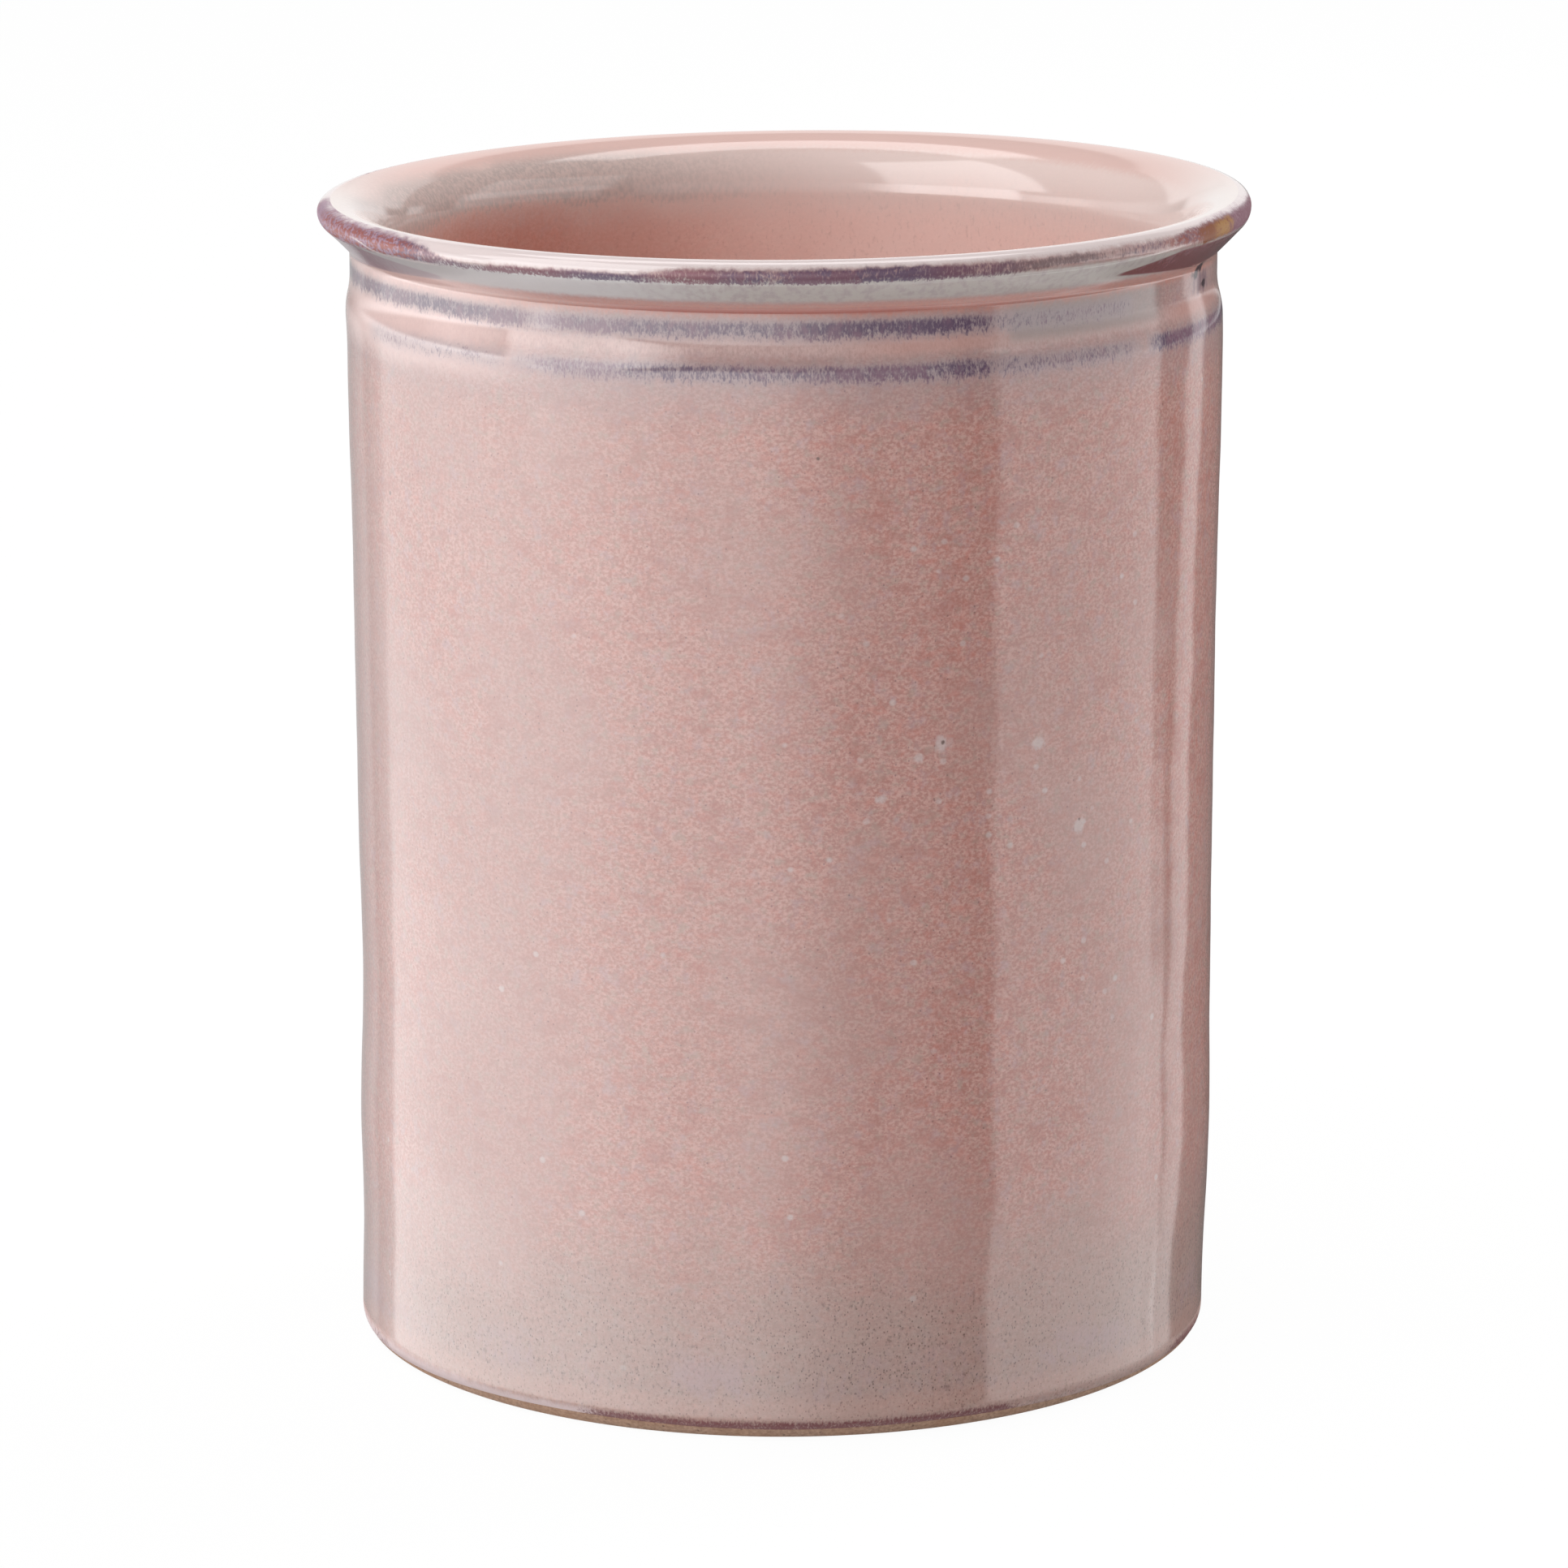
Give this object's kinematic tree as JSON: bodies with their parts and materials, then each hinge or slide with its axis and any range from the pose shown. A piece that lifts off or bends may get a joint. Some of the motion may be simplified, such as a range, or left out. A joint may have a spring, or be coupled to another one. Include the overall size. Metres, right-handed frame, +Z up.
{
  "type": "utensil crock",
  "caption": "Straight-sided glazed stoneware crock with a flared, rolled lip, a shallow neck over a soft shoulder, and an open well that kitchen utensils stand in.",
  "frame": {"origin": "centre of the foot ring, on the surface that the crock stands on", "axes": "+Z up along the crock's axis; the crock is round, so +X and +Y are alike"},
  "size_m": [0.1198, 0.1198, 0.15],
  "materials": {
    "bare_stoneware": "unglazed, finely grained, matt",
    "reactive_glaze": "glossy speckled dusty-pink glaze that breaks purple on the lip and in the incised lines"
  },
  "bodies": {
    "root": {"stoneware_body": "bare_stoneware", "outer_glaze": "reactive_glaze", "liner_glaze": "reactive_glaze", "recess_glaze": "reactive_glaze"}
  },
  "joints": []
}
